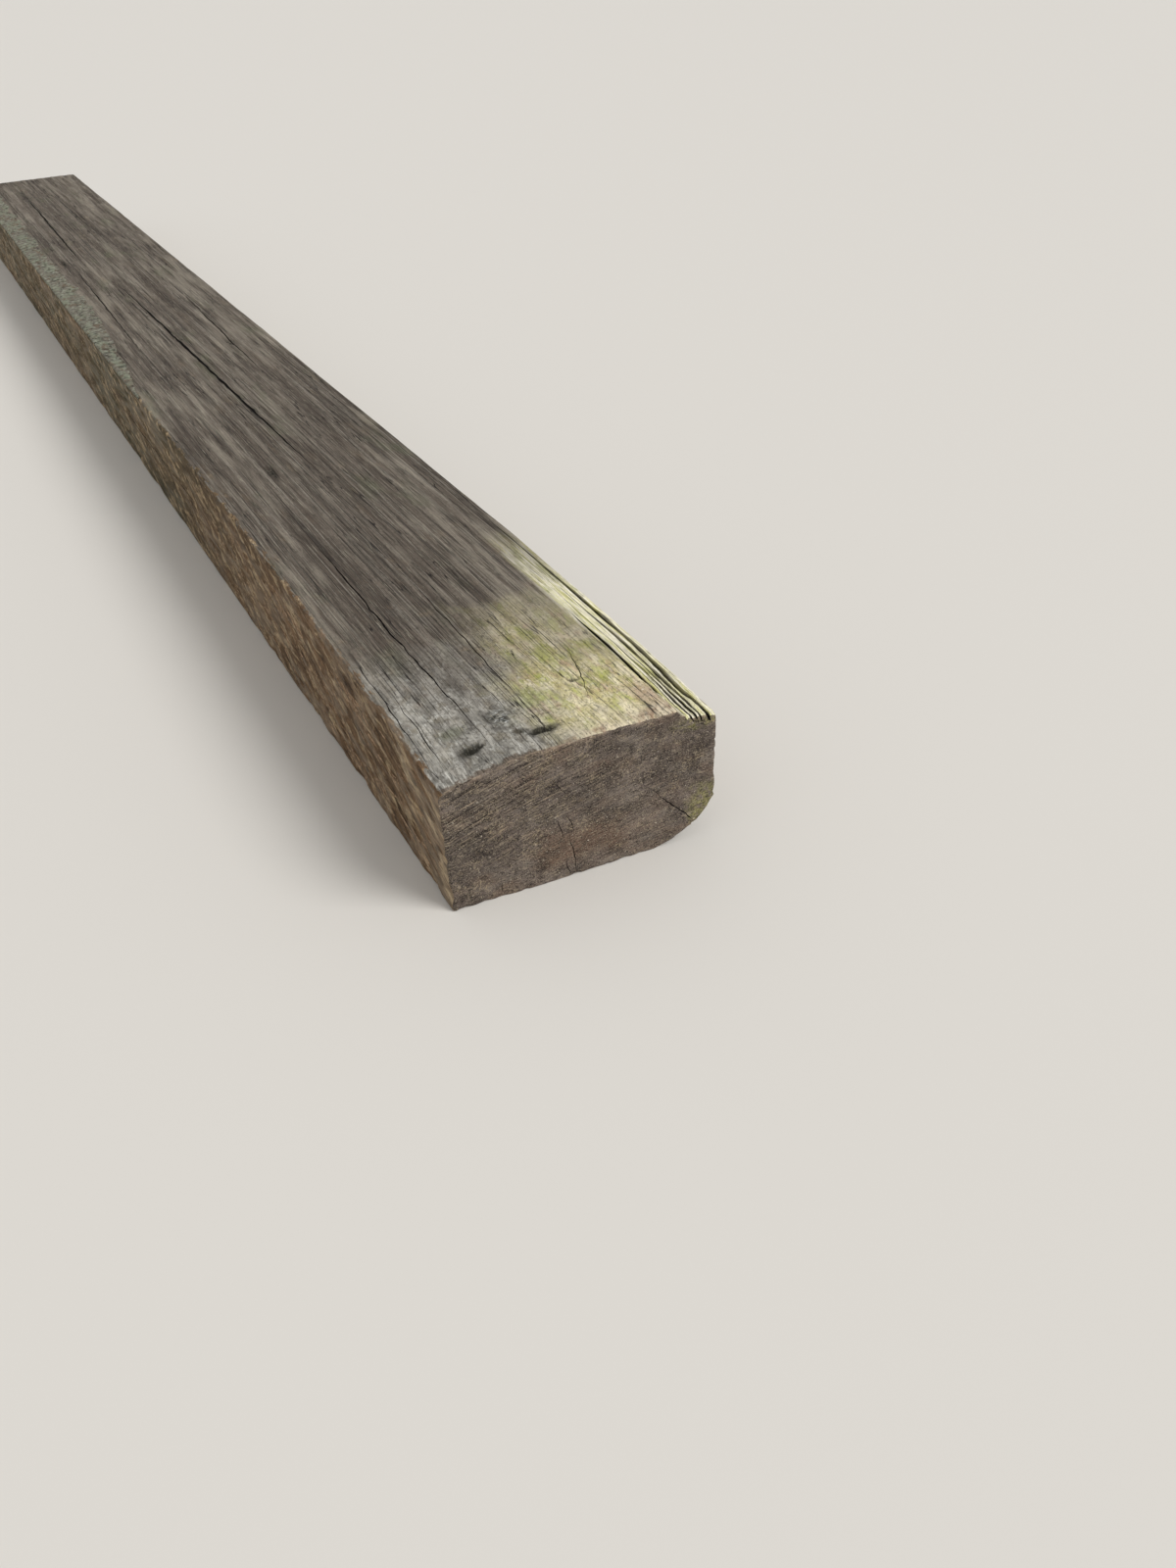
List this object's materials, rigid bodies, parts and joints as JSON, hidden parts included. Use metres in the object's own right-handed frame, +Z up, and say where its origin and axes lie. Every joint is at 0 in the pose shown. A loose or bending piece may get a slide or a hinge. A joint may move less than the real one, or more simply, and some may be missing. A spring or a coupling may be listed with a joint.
{
  "type": "railway sleeper",
  "caption": "Old hardwood railway sleeper: a long sawn baulk with wane along one lower edge, drying checks, a worn shoulder and a broken-out strip along one upper edge.",
  "frame": {"origin": "middle of the bed, the flat face that the timber lies on", "axes": "+X along the timber towards the end that the picture shows, +Y to the right for someone who looks at that end, +Z up"},
  "size_m": [3.4996, 0.29, 0.165],
  "materials": {
    "creosoted_timber": "matt: sawn, creosoted, weathered grey and brown, with moss and algae on the damp faces"
  },
  "bodies": {
    "root": {"sleeper": "creosoted_timber"}
  },
  "joints": []
}
